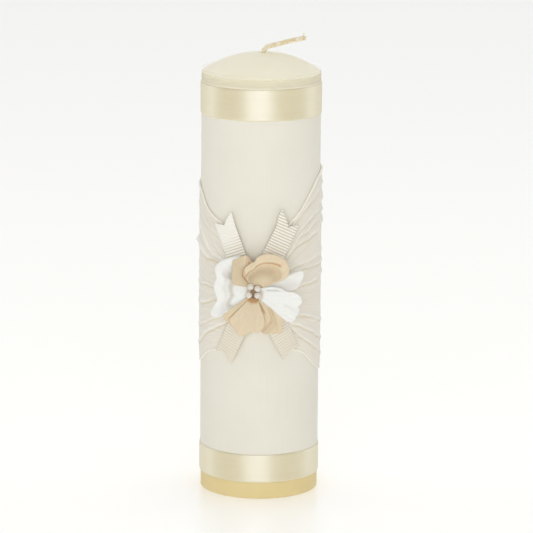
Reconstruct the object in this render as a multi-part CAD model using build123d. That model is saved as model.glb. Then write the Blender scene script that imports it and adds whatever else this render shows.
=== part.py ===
"""A unity candle: a wax pillar in a sheer sleeve, with satin bands, a gathered sash and a fabric flower.

Millimetres. The origin is the centre of the base, on the surface that the candle stands on.
+Z runs up the candle's axis, the flower faces -Y and +X is to the right of someone who looks at it.
"""

from build123d import *
from math import cos, pi, radians, sin, tan
import os

# Wax pillar
wax_radius = 35.0
shoulder_z = 251.3
dome_rise = 11.3
base_edge = 0.8
shoulder_edge = 1.6
dome_top = shoulder_z + dome_rise

# Wick: a braided cotton cord, held at the base by a crimped metal sustainer
wick_radius = 1.25
wick_x = 0.8
wick_clearance = 0.03
core_top = 259.8
wick_route = [
    (0.8, 0.0, core_top),
    (0.8, 0.0, 263.4),
    (3.7, -0.5, 266.1),
    (8.7, -1.6, 267.3),
    (17.0, -3.3, 269.9),
    (24.7, -5.0, 271.6),
]
dimple_radius = 3.6
dimple_depth = 1.2
plate_radius = 10.0
plate_thickness = 0.5
neck_radius = 2.1
neck_height = 8.0

# Sheer sleeve, wrapped once round the wax and taped down a lap at the back
sleeve_inner = 35.05
sleeve_thickness = 0.25
sleeve_bottom = 12.5
sleeve_top = 253.2
tape_thickness = 0.05
tape_margin = 3.0
tape_inset = 1.0
lap_start = 90.0
lap_angle = 16.0
lap_step = 1.5
sleeve_outer = sleeve_inner + sleeve_thickness

# Satin bands, glued on a lap at the back
satin_inner = 35.65
satin_thickness = 0.3
satin_glue = 0.05
glue_inset = 2.0
satin_lap_start = 100.0
satin_outer = satin_inner + satin_thickness
satin_bands = {"top": (227.0, 245.6), "bottom": (10.0, 27.0)}

# Sash: a wide band of chiffon round the pillar, gathered to a narrow neck behind the flower
sash_inner = 35.8
sash_thickness = 0.9
sash_outer = sash_inner + sash_thickness
neck_half_height = 5.0
neck_half_width = 3.5
sash_side = 37.0
sash_top_left = [(-sash_side, 184.0), (-32.4, 174.7), (-22.1, 164.7)]
sash_top_right = [(17.1, 165.6), (25.2, 175.2), (sash_side, 194.0)]
sash_low_right = [(sash_side, 72.0), (29.0, 83.6), (18.4, 90.9)]
sash_low_left = [(-22.0, 88.9), (-30.8, 85.8), (-sash_side, 76.5)]
thread_section = 0.35
thread_width = 1.2
thread_gap = 0.05
clear_reach = 45.0

# Grosgrain strips: two, crossed behind the flower, each with a swallowtail at both ends
# each leg: its angle from +Z towards +X, its reach, and how far to +X of the flower it starts
strip_half_width = 5.9
strip_thickness = 0.4
strip_inner = 37.4
strip_step = 0.45
strip_span = 60.0
notch_depth = 5.0
strip_legs = {
    "a": [(-18.6, 45.5, -4.3), (155.4, 44.0, 3.6)],
    "b": [(25.3, 47.5, 1.4), (-158.0, 45.0, -1.3)],
}

# Flower: four scalloped petals on a felt disc, with four pearl stamens
flower_x = -3.1
flower_z = 126.6
glue_dot_radius = 4.5
glue_dot_back = 38.3
glue_dot_front = 38.9
backing_radius = 7.0
backing_thickness = 0.8
petal_root = 3.2
petal_thickness = 1.0
petal_gap = 0.35
# name: first and last angle in degrees from +X, reach, forward tilt in degrees
petals = {
    "top": (33.0, 147.0, 23.5, 11.0),
    "right": (-40.0, 28.0, 29.0, 0.0),
    "bottom": (-137.0, -45.0, 25.0, 11.0),
    "left": (152.0, 218.0, 28.0, 0.0),
}
scallops = 4
scallop_depth = 0.06
pearl_radius = 1.9
pearl_front = 44.0
pearl_places = [(-2.2, 4.2), (1.65, 3.1), (-3.2, -0.6), (1.75, -0.9)]
stem_radius = 0.35
stem_spread = 0.4
stem_bury = 0.7

backing_front = glue_dot_front + backing_thickness
front_plane = Plane(origin=(flower_x, 0, flower_z), x_dir=(1, 0, 0), z_dir=(0, -1, 0))


def ring(inner, outer, low, high):
    """A tube round the candle's axis."""
    height = high - low
    solid = Cylinder(outer, height) - Cylinder(inner, height)
    return Pos(0, 0, (low + high) / 2) * solid


def wedge(inner, outer, low, high, first, span):
    """A piece of such a tube, from an angle first over span degrees."""
    profile = Polygon((inner, low), (outer, low), (outer, high), (inner, high), align=None)
    turned = revolve(Plane.XZ * profile, axis=Axis.Z, revolution_arc=span)
    return Rot(0, 0, first) * turned


def prism(points, side):
    """An outline in X and Z, made solid from the XZ plane towards -Y or +Y, as side is -1 or 1."""
    outline = make_face(Plane.XZ * Polyline(*points, close=True))
    return extrude(outline, amount=clear_reach, dir=(0, side, 0))


def wax_pillar():
    dome = ThreePointArc(
        (wax_radius, shoulder_z),
        dome_point(wax_radius / 2),
        (0, dome_top),
    )
    walls = Polyline((0, dome_top), (0, 0), (wax_radius, 0), (wax_radius, shoulder_z))
    body = revolve(Plane.XZ * make_face(dome + walls), axis=Axis.Z)
    body = fillet(whole_rims(body)[0], base_edge)
    body = fillet(whole_rims(body)[-1], shoulder_edge)
    bore = upright(wick_radius + wick_clearance, 0, dome_top)
    seat = upright(plate_radius + wick_clearance, 0, plate_thickness)
    neck = upright(neck_radius + wick_clearance, 0, neck_height)
    dimple = Cone(wick_radius, dimple_radius, dimple_depth)
    return body - bore - seat - neck - Pos(wick_x, 0, dome_top - dimple_depth / 2) * dimple


def whole_rims(body):
    """The circles that run right round the pillar, from the lowest up."""
    circles = body.edges().filter_by(GeomType.CIRCLE).sort_by(Axis.Z)
    return [e for e in circles if e.length > pi * wax_radius]


def dome_point(r):
    """A point of the dome's arc at radius r."""
    dome_radius = (wax_radius**2 + dome_rise**2) / (2 * dome_rise)
    return (r, dome_top - dome_radius + (dome_radius**2 - r**2) ** 0.5)


def upright(radius, low, high):
    """An upright cylinder on the wick's own line."""
    return Pos(wick_x, 0, (low + high) / 2) * Cylinder(radius, high - low)


def wick_core():
    return upright(wick_radius, plate_thickness, core_top)


def wick_tail():
    corners = [Vector(*p) for p in wick_route]
    runs = [b - a for a, b in zip(corners, corners[1:])]
    radii = []
    for before, after in zip(runs, runs[1:]):
        turn = radians(before.get_angle(after))
        radii.append(0.45 * min(before.length, after.length) / tan(turn / 2))
    print("wick_tail radii", [round(r, 1) for r in radii])
    path = FilletPolyline(*corners, radius=radii)
    tube = sweep(Plane(origin=corners[0], z_dir=runs[0]) * Circle(wick_radius), path=path)
    print("wick_tail length", round(path.length, 2))
    straight = pi * wick_radius**2 * path.length
    print("wick_tail volume over section times length", round(tube.volume / straight, 3))
    return tube


def wick_sustainer():
    plate = upright(plate_radius, 0, plate_thickness)
    neck = upright(neck_radius, plate_thickness, neck_height)
    return plate + neck - upright(wick_radius + wick_clearance, plate_thickness, neck_height)


def organza_sleeve():
    lap_inner = sleeve_outer + tape_thickness
    lap_outer = lap_inner + sleeve_thickness
    low, high = sleeve_bottom, sleeve_top
    wrap = ring(sleeve_inner, sleeve_outer, low, high)
    lap = wedge(lap_inner, lap_outer, low, high, lap_start, lap_angle)
    step_inner = sleeve_outer - sleeve_thickness / 2
    step = wedge(step_inner, lap_outer, low, high, lap_start + lap_angle, lap_step)
    return wrap + (lap + step)


def sleeve_seam_tape():
    low, high = sleeve_bottom + tape_margin, sleeve_top - tape_margin
    first, span = lap_start + tape_inset, lap_angle - 2 * tape_inset
    return wedge(sleeve_outer, sleeve_outer + tape_thickness, low, high, first, span)


def satin_ribbon(name):
    low, high = satin_bands[name]
    lap_inner = satin_outer + satin_glue
    lap_outer = lap_inner + satin_thickness
    wrap = ring(satin_inner, satin_outer, low, high)
    lap = wedge(lap_inner, lap_outer, low, high, satin_lap_start, lap_angle)
    step_inner = satin_outer - satin_thickness / 2
    step = wedge(step_inner, lap_outer, low, high, satin_lap_start + lap_angle, lap_step)
    return wrap + (lap + step)


def ribbon_glue(name):
    low, high = satin_bands[name]
    first, span = satin_lap_start + glue_inset, lap_angle - 2 * glue_inset
    outer = satin_outer + satin_glue
    return wedge(satin_outer, outer, low + tape_margin, high - tape_margin, first, span)


def sash():
    neck_top, neck_low = flower_z + neck_half_height, flower_z - neck_half_height
    neck_left, neck_right = flower_x - neck_half_width, flower_x + neck_half_width
    neck_above = [(neck_left, neck_top), (neck_right, neck_top)]
    neck_below = [(neck_right, neck_low), (neck_left, neck_low)]
    left = sash_low_left + sash_top_left
    right = sash_top_right + sash_low_right
    bow = prism(left + neck_above + right + neck_below, -1)
    corners = [sash_low_left[-1], sash_top_left[0], sash_top_right[-1], sash_low_right[0]]
    back = prism(corners, 1)
    tallest = ring(sash_inner, sash_outer, sash_low_right[0][1], sash_top_right[-1][1])
    groove = flat_bar(sleeve_outer, sleeve_outer + thread_section + 2 * thread_gap, clear_reach)
    return tallest & (bow + back) - groove


def flat_bar(back, front, height):
    """A bar at the flower's place as wide as the binding thread, from y = -back to y = -front."""
    middle = Pos(flower_x, -(back + front) / 2, flower_z)
    return middle * Box(thread_width, front - back, height)


def gather_thread():
    """A flat loop of thread round the sash's neck."""
    back = sleeve_outer + thread_gap
    front = sash_outer + thread_gap
    hole_height = 2 * (neck_half_height + thread_gap)
    loop = flat_bar(back, front + thread_section, hole_height + 2 * thread_section)
    return loop - flat_bar(back + thread_section, front, hole_height)


def grosgrain_strip(name, layer):
    """Two legs from the flower's centre, wrapped on the pillar; angles are measured from +Z towards +X."""
    inner = strip_inner + layer * strip_step
    legs = []
    for angle, reach, shift in strip_legs[name]:
        outline = [
            (-strip_half_width, -strip_half_width),
            (-strip_half_width, reach),
            (0, reach - notch_depth),
            (strip_half_width, reach),
            (strip_half_width, -strip_half_width),
        ]
        leg = extrude(make_face(Polyline(*outline, close=True)), amount=clear_reach)
        legs.append(front_plane * (Pos(shift, 0, 0) * Rot(0, 0, -angle) * leg))
    low, high = flower_z - strip_span, flower_z + strip_span
    band = ring(inner, inner + strip_thickness, low, high)
    return band & (legs[0] + legs[1])


def flower_disc(radius, back, front):
    """A round disc at the flower's centre, from y = -back to y = -front."""
    return front_plane * (Pos(0, 0, (back + front) / 2) * Cylinder(radius, front - back))


def petal(name):
    """A fan with a scalloped edge, tipped forward about its root."""
    first, last, reach, tilt = petals[name]
    step = (last - first) / scallops
    rim = reach * (1 - scallop_depth)
    edge = [polar(petal_root, first), polar(rim, first)]
    outline = Polyline(*edge)
    for k in range(scallops):
        start, end = first + k * step, first + (k + 1) * step
        crest = polar(reach, (start + end) / 2)
        outline += ThreePointArc(polar(rim, start), crest, polar(rim, end))
    outline += Line(polar(rim, last), polar(petal_root, last))
    middle = (first + last) / 2
    outline += ThreePointArc(polar(petal_root, last), polar(petal_root, middle), polar(petal_root, first))
    fan = extrude(make_face(outline), amount=petal_thickness)
    hinge = Axis(polar(petal_root, middle), (sin(radians(middle)), -cos(radians(middle)), 0))
    return front_plane * (Pos(0, 0, backing_front + petal_gap) * fan.rotate(hinge, tilt))


def polar(reach, angle):
    return (reach * cos(radians(angle)), reach * sin(radians(angle)))


def stem_ends(k):
    """Where stamen k starts near the felt disc, and its pearl's centre, in the flower's own plane."""
    x, y = pearl_places[k]
    start = Vector(x * stem_spread, y * stem_spread, backing_front + petal_gap)
    return start, Vector(x, y, pearl_front)


def stamen_stem(k):
    start, pearl = stem_ends(k)
    along = pearl - start
    length = along.length - pearl_radius + stem_bury
    stem = extrude(Plane(origin=start, z_dir=along) * Circle(stem_radius), amount=length)
    return front_plane * stem


def stamen_pearl(k):
    start, pearl = stem_ends(k)
    ball = front_plane * (Pos(*pearl) * Sphere(pearl_radius))
    return ball - stamen_stem(k)


parts = {
    "wax_pillar": wax_pillar(),
    "wick_core": wick_core(),
    "wick_tail": wick_tail(),
    "wick_sustainer": wick_sustainer(),
    "organza_sleeve": organza_sleeve(),
    "sleeve_seam_tape": sleeve_seam_tape(),
    "sash": sash(),
    "gather_thread": gather_thread(),
    "grosgrain_strip_a": grosgrain_strip("a", 0),
    "grosgrain_strip_b": grosgrain_strip("b", 1),
    "flower_glue_dot": flower_disc(glue_dot_radius, glue_dot_back, glue_dot_front),
    "flower_backing": flower_disc(backing_radius, glue_dot_front, backing_front),
}
for band in satin_bands:
    parts[f"{band}_satin_ribbon"] = satin_ribbon(band)
    parts[f"{band}_ribbon_glue"] = ribbon_glue(band)
for side in petals:
    parts[f"petal_{side}"] = petal(side)
for number in range(len(pearl_places)):
    parts[f"stamen_stem_{number + 1}"] = stamen_stem(number)
    parts[f"stamen_pearl_{number + 1}"] = stamen_pearl(number)

os.makedirs("parts", exist_ok=True)
for node, solid in parts.items():
    export_step(solid, f"parts/{node}.step")
print(len(parts), "nodes")
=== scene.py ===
import random
from bisect import bisect_right
from math import asin, cos, degrees, exp, hypot, pi, radians, sin, sqrt

import bmesh
import bpy
from mathutils import Matrix, Vector, noise


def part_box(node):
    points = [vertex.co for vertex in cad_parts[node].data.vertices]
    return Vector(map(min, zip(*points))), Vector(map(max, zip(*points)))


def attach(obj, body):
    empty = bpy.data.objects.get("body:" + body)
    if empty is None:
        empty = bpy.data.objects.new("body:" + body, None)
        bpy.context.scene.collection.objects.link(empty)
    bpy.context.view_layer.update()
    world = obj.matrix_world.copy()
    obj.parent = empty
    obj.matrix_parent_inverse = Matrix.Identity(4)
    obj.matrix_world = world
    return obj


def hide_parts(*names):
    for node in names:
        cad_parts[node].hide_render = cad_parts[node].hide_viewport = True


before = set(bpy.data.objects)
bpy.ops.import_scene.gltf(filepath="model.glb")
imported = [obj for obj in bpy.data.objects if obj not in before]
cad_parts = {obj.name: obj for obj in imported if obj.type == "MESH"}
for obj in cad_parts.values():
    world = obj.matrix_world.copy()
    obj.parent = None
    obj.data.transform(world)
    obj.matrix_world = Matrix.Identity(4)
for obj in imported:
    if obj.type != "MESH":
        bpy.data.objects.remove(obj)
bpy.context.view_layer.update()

mm = 0.001
flowerLow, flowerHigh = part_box("flower_backing")
flowerX = (flowerLow.x + flowerHigh.x) / 2 / mm
flowerZ = (flowerLow.z + flowerHigh.z) / 2 / mm
flowerFront = -flowerLow.y / mm
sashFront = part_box("sash")[1].x / mm
knotAngle = degrees(asin(flowerX / sashFront))  # where the sash is gathered, from the front


# Camera

cameraView = {
    "aim": (0.00383, 0.0, 0.1336),
    "distance": 2.0694,
    "pitch": 12.1,  # degrees down
    "roll": 0.44,
    "lens": 234.7,
    "sensor": 36.0,
}


def makeCamera():
    pitch, roll = radians(cameraView["pitch"]), radians(cameraView["roll"])
    ahead = Vector((0, cos(pitch), -sin(pitch)))
    level = Vector((1, 0, 0))
    up = level.cross(ahead)
    side = cos(roll) * level + sin(roll) * up
    top = cos(roll) * up - sin(roll) * level
    data = bpy.data.cameras.new("camera")
    data.lens, data.sensor_width = cameraView["lens"], cameraView["sensor"]
    camera = bpy.data.objects.new("camera", data)
    bpy.context.scene.collection.objects.link(camera)
    turn = Matrix((side, top, -ahead)).transposed().to_4x4()
    place = Vector(cameraView["aim"]) - cameraView["distance"] * ahead
    camera.matrix_world = Matrix.Translation(place) @ turn
    bpy.context.scene.camera = camera


makeCamera()
print("camera ready")


# Shader tools


def tone(red, green, blue):
    # a colour as a paint chart gives it, 0 to 255, made linear
    parts = [c / 255 for c in (red, green, blue)]
    return tuple(c / 12.92 if c <= 0.04045 else ((c + 0.055) / 1.055) ** 2.4 for c in parts) + (1.0,)


class wire:
    # a socket in a material's tree: sums written with it add Math nodes
    def __init__(self, tree, socket=None):
        self.tree, self.socket = tree, socket

    def node(self, kind, settings=None, inputs=None, out=0):
        made = self.tree.nodes.new(kind)
        for name, value in (settings or {}).items():
            if name == "stops":
                ramp = made.color_ramp
                while len(ramp.elements) < len(value):
                    ramp.elements.new(1.0)
                for stop, (place, colour) in zip(ramp.elements, value):
                    stop.position, stop.color = place, colour
            else:
                setattr(made, name, value)
        for name, value in (inputs or {}).items():
            if isinstance(value, wire):
                self.tree.links.new(value.socket, made.inputs[name])
            else:
                made.inputs[name].default_value = value
        return wire(self.tree, made.outputs[out])

    def show(self, kind):
        # the end of the tree: a material's output or the world's
        end = self.tree.nodes.new(kind)
        self.tree.links.new(self.socket, end.inputs["Surface"])

    def math(self, operation, *others):
        given = dict(enumerate((self, *others)))
        return self.node("ShaderNodeMath", {"operation": operation}, given)

    def __add__(self, other):
        return self.math("ADD", other)

    __radd__ = __add__

    def __mul__(self, other):
        return self.math("MULTIPLY", other)

    __rmul__ = __mul__

    def __sub__(self, other):
        return self.math("SUBTRACT", other)

    def __rsub__(self, other):
        return self.node("ShaderNodeMath", {"operation": "SUBTRACT"}, {0: other, 1: self})

    def wave(self):
        return self.math("SINE")

    def within(self, low, high):
        # 0 below low, 1 above high, smooth between
        inputs = {"Value": self, "From Min": low, "From Max": high}
        return self.node("ShaderNodeMapRange", {"interpolation_type": "SMOOTHSTEP", "clamp": True}, inputs)

    def blend(self, first, second):
        # a colour between two, by this factor
        return self.node("ShaderNodeMix", {"data_type": "RGBA"}, {0: self, 6: first, 7: second}, 2)

    def flat(self):
        # the place on a cloth before it was shaped, in millimetres
        return self.node("ShaderNodeUVMap", {"uv_map": "flat"})

    def fold(self):
        # the painted light, shade and highlight, that a cloth's mesh carries
        return self.node("ShaderNodeAttribute", {"attribute_name": "fold"}, out="Fac")

    def split(self):
        made = self.tree.nodes.new("ShaderNodeSeparateXYZ")
        self.tree.links.new(self.socket, made.inputs[0])
        return [wire(self.tree, made.outputs[k]) for k in range(3)]

    def stretched(self, across, along, up=1.0):
        return self.node("ShaderNodeMapping", None, {"Vector": self, "Scale": (across, along, up)})

    def mottle(self, scale, detail=3.0, roughness=0.55):
        inputs = {"Vector": self, "Scale": scale, "Detail": detail, "Roughness": roughness}
        return self.node("ShaderNodeTexNoise", None, inputs)

    def bump(self, height, strength, below=None):
        inputs = {"Height": height, "Strength": strength, "Distance": mm}
        if below:
            inputs["Normal"] = below
        return self.node("ShaderNodeBump", None, inputs)


def newMaterial(name):
    # the material, a wire to start from, and its place in millimetres on the object
    made = bpy.data.materials.new(name)
    made.use_nodes = True
    made.node_tree.nodes.clear()
    start = wire(made.node_tree)
    place = start.node("ShaderNodeTexCoord", out="Object").stretched(1000, 1000, 1000)
    return made, start, place


def finishMaterial(made, start, colour, roughness, normal=None, alpha=None, **fixed):
    # fixed holds the values that are the same all over the surface
    inputs = {"Base Color": colour, "Roughness": roughness}
    if normal:
        inputs["Normal"] = normal
    if alpha:
        inputs["Alpha"] = alpha
    inputs.update({name.replace("_", " ").replace("ior", "IOR"): value for name, value in fixed.items()})
    start.node("ShaderNodeBsdfPrincipled", None, inputs).show("ShaderNodeOutputMaterial")
    return made


def plainFinish(name, light, dark, scale, roughness, lumps, **fixed):
    made, start, place = newMaterial(name)
    cloud = place.mottle(scale, 4.0)
    fine = place.mottle(scale * 5)
    colour = (cloud * 0.7 + fine * 0.3).within(0.3, 0.7).blend(dark, light)
    normal = start.bump(cloud + fine * 0.5, lumps)
    return finishMaterial(made, start, colour, roughness + 0.1 * fine, normal, **fixed)


# Mesh tools

lapRun = 4.0  # degrees over which a cloth climbs onto its own lap


def smooth(x):
    x = min(max(x, 0.0), 1.0)
    return x * x * (3 - 2 * x)


def along(points, x):
    # the value at x of a soft line through points of (x, value)
    x = min(max(x, points[0][0]), points[-1][0])
    k = min(bisect_right(points, (x, 1e9)), len(points) - 1)
    before, after = points[k - 1], points[k]
    span = after[0] - before[0]
    slope = (after[1] - before[1]) / span
    slopes = []
    for end, step in ((k - 1, -1), (k, 1)):
        other = end + step
        if 0 <= other < len(points):
            beyond = (points[other][1] - points[end][1]) / (points[other][0] - points[end][0])
            slopes.append((slope + beyond) / 2 if slope * beyond > 0 else 0.0)
        else:
            slopes.append(slope)
    t = (x - before[0]) / span
    first = before[1] + t * t * (3 - 2 * t) * (after[1] - before[1])
    return first + span * (t * (1 - t) ** 2 * slopes[0] - t * t * (1 - t) * slopes[1])


def softLine(points, t):
    # the point at t, 0 to 1, of a soft line through points of any number of values
    steps = len(points) - 1
    k = min(int(t * steps), steps - 1)
    f = t * steps - k
    a, b, c, d = (points[min(max(k + n, 0), steps)] for n in (-1, 0, 1, 2))
    return [
        q + 0.5 * f * (r - p + f * (2 * p - 5 * q + 4 * r - s + f * (3 * (q - r) + s - p)))
        for p, q, r, s in zip(a, b, c, d)
    ]


def lathe(outline, steps, closed=False, merge=1e-7):
    # a full turn round the Z axis of an outline of (radius, height) in millimetres
    bm = bmesh.new()
    verts = [bm.verts.new((r * mm, 0, z * mm)) for r, z in outline]
    others = verts[1:] + verts[:1] if closed else verts[1:]
    profile = verts + [bm.edges.new(pair) for pair in zip(verts, others)]
    middle = (0, 0, 0)
    bmesh.ops.spin(bm, geom=profile, axis=(0, 0, 1), cent=middle, angle=2 * pi, steps=steps, use_merge=True)
    bmesh.ops.remove_doubles(bm, verts=bm.verts, dist=merge)
    holes = [edge for edge in bm.edges if edge.is_boundary]
    if holes:
        bmesh.ops.holes_fill(bm, edges=holes)
    bmesh.ops.recalc_face_normals(bm, faces=bm.faces)
    for face in bm.faces:
        face.smooth = True
    return bm


def lapAt(band, u):
    # for a cloth wrapped once round: the angle at u, 0 to 1, and how far it has climbed onto its own lap
    half = band["lapAngle"] / 2
    angle = band["lapCentre"] - half + u * (360 + band["lapAngle"])
    return angle, smooth((angle - (band["lapCentre"] + 360 - half - lapRun)) / lapRun)


def onPillar(angle, radius, height):
    # millimetres to metres; the angle is from the front towards +X
    turn = radians(angle)
    return Vector((radius * sin(turn), -radius * cos(turn), height)) * mm


def addCloth(bm, columns, rows, width, length, place):
    # a flat grid, marked with its own flat size in millimetres and with the painted light that place gives,
    # and then moved into shape
    shade = bm.verts.layers.float.get("fold") or bm.verts.layers.float.new("fold")
    flat = bm.loops.layers.uv.get("flat") or bm.loops.layers.uv.new("flat")
    made = bmesh.ops.create_grid(bm, x_segments=columns, y_segments=rows, size=0.5)["verts"]
    mine = {face for vert in made for face in vert.link_faces}
    for face in mine:
        face.smooth = True
        for loop in face.loops:
            loop[flat].uv = ((loop.vert.co.x + 0.5) * width, (loop.vert.co.y + 0.5) * length)
    for vert in made:
        vert.co, vert[shade] = place(vert.co.x + 0.5, vert.co.y + 0.5)
    return made


def finishPiece(bm, name, material, slot, replaced=(), thickness=0.0, inward=1.0):
    mesh = bpy.data.meshes.new(name)
    bm.to_mesh(mesh)
    bm.free()
    return finishMesh(mesh, name, material, slot, replaced, thickness, inward)


def finishMesh(mesh, name, material, slot, replaced=(), thickness=0.0, inward=1.0):
    mesh.materials.clear()
    mesh.materials.append(material)
    piece = bpy.data.objects.new(name, mesh)
    bpy.context.scene.collection.objects.link(piece)
    if thickness:
        wall = piece.modifiers.new("wall", "SOLIDIFY")
        wall.thickness, wall.offset = thickness * mm, -inward
    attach(piece, "root")
    if replaced:
        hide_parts(*replaced)
    return piece


def curveMesh(data):
    holder = bpy.data.objects.new(data.name + "_line", data)
    bpy.context.scene.collection.objects.link(holder)
    mesh = bpy.data.meshes.new_from_object(holder.evaluated_get(bpy.context.evaluated_depsgraph_get()))
    bpy.data.objects.remove(holder)
    return mesh


def tubes(name, lines, radius, material, slot, replaced=(), sides=8):
    # round strands along lines of points in metres, as one mesh
    data = bpy.data.curves.new(name, "CURVE")
    data.dimensions, data.bevel_depth, data.use_fill_caps = "3D", radius * mm, True
    data.bevel_resolution = sides // 2 - 2
    for line in lines:
        spline = data.splines.new("POLY")
        spline.points.add(len(line) - 1)
        for point, (place, size) in zip(spline.points, line):
            point.co, point.radius = (*place, 1.0), size
    mesh = curveMesh(data)
    mesh.name = name
    for face in mesh.polygons:
        face.use_smooth = True
    return finishMesh(mesh, name, material, slot, replaced)


# Wick: the free cord comes first

wick = {
    "route": [
        (0.0008, 0.0, 0.2598),
        (0.0008, 0.0, 0.2634),
        (0.0037, -0.0005, 0.2661),
        (0.0087, -0.0016, 0.2673),
        (0.0170, -0.0033, 0.2699),
        (0.0247, -0.0050, 0.2716),
    ],
    "length": 0.030,
    "diameter": 0.0025,
    "strand": 0.46,  # radius of one strand, mm
    "middle": 0.88,  # strands run at this radius, mm
    "swing": 0.2,  # over and under
    "pitch": 7.5,  # mm for a turn
    "openLength": 2.5,  # the cut end opens a little, over this length
    "openShare": 0.14,
    "frayedThreads": 26,
    "frayedLength": (1.4, 3.4),
    "frayedRadius": 0.11,
}


def cottonMaterial():
    made, start, place = newMaterial("braided cotton")
    fibres = place.mottle(3.0, 5.0)
    spots = place.mottle(0.35)
    colour = (fibres * 0.45 + spots * 0.55).within(0.36, 0.6).blend(tone(238, 213, 158), tone(255, 250, 230))
    return finishMaterial(made, start, colour, 0.85, start.bump(fibres, 0.5), Sheen_Weight=0.4)


def wickLine():
    # the points of the smooth line that the wick follows
    data = bpy.data.curves.new("wick_line", "CURVE")
    data.dimensions, data.resolution_u = "3D", 24
    spline = data.splines.new("NURBS")
    spline.points.add(len(wick["route"]) - 1)
    for point, place in zip(spline.points, wick["route"]):
        point.co = (*place, 1.0)
    spline.order_u = 3
    spline.use_endpoint_u = True
    return [vert.co.copy() for vert in curveMesh(data).vertices]


def framesAlong(points):
    # at each point: how far along it is, and two directions square to the line that don't spin
    gone, across = 0.0, Vector((0, 1, 0))
    for k, point in enumerate(points):
        ahead = (points[min(k + 1, len(points) - 1)] - points[max(k - 1, 0)]).normalized()
        across = (across - across.dot(ahead) * ahead).normalized()
        if k:
            gone += (point - points[k - 1]).length
        yield gone / mm, point, ahead, across, ahead.cross(across)


def makeWick():
    points = wickLine()
    frames = list(framesAlong(points))
    total = frames[-1][0]
    strands = []
    for hand in (1, -1):
        for carrier in range(4):
            strand = []
            for gone, point, ahead, across, other in frames:
                turn = 2 * pi * gone / wick["pitch"]
                radius = wick["middle"] + hand * wick["swing"] * cos(4 * turn)
                radius *= 1 + wick["openShare"] * smooth((gone - total) / wick["openLength"] + 1)
                angle = hand * turn + carrier * pi / 2
                offset = radius * mm * (cos(angle) * across + sin(angle) * other)
                strand.append((point + offset, 1.0))
            strands.append(strand)
    cotton = cottonMaterial()
    braid = tubes("wick_braid", strands, wick["strand"], cotton, "braided_cotton", ["wick_tail"])
    chance = random.Random(7)
    gone, end, ahead, across, other = frames[-1]
    threads = []
    for k in range(wick["frayedThreads"]):
        angle, spread = chance.uniform(0, 2 * pi), chance.uniform(0.1, 0.55)
        if k % 3 == 0:  # a tuft stands up
            angle, spread = pi / 2 + chance.uniform(-0.5, 0.5), chance.uniform(0.9, 1.3)
        outward = cos(angle) * across + sin(angle) * other
        start = end + outward * chance.uniform(0.1, 0.9) * mm - ahead * 0.6 * mm
        long = chance.uniform(*wick["frayedLength"]) * mm
        thread = []
        for n in range(9):
            f = n / 8
            bend = outward * spread * f * f * long + ahead * long * f * (1 - 0.4 * spread * f)
            thread.append((start + bend, 1 - 0.6 * f))
        threads.append(thread)
    fray = tubes("wick_fray", threads, wick["frayedRadius"], cotton, "braided_cotton", sides=6)
    return cotton


cotton = makeWick()
print("wick ready")


# Wax pillar

wax = {
    "top": 262.6,  # of the dome, before its dimple
    "shoulder": 251.3,
    "edge": 0.8,
    "shoulderEdge": 1.6,
    "boreRadius": 1.28,
    "dimpleRadius": 3.8,
    "dimpleDepth": 1.3,
    "seatRadius": 10.03,
    "seatDepth": 0.5,
    "neckRadius": 2.13,
    "neckHeight": 8.0,
    "wickX": 0.8,
    "steps": 192,
    "waver": 0.05,
}


def waxMaterial():
    made, start, place = newMaterial("ivory wax")
    height = place.split()[2]
    cloud = place.mottle(0.06, 4.0)
    grain = place.mottle(1.3, 2.0)
    # painted light and shade: the wax is deeper golden at its foot and paler higher up, for the foot lit less
    # and the dome lit more
    paintedTopLight = height.within(8.0, 60.0)
    base = paintedTopLight.blend(tone(233, 214, 160), tone(251, 246, 224))
    shaded = paintedTopLight.blend(tone(228, 207, 151), tone(247, 241, 217))
    colour = (cloud.within(0.35, 0.7) * 0.5).blend(base, shaded)
    roughness = 0.4 + cloud * 0.12
    normal = start.bump(cloud * 1.2 + grain * 0.12, 0.35)
    return finishMaterial(
        made,
        start,
        colour,
        roughness,
        normal,
        Subsurface_Weight=0.2,
        Subsurface_Radius=(1.0, 0.72, 0.42),
        Subsurface_Scale=0.006,
        Specular_ior_Level=0.4,
    )


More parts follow.
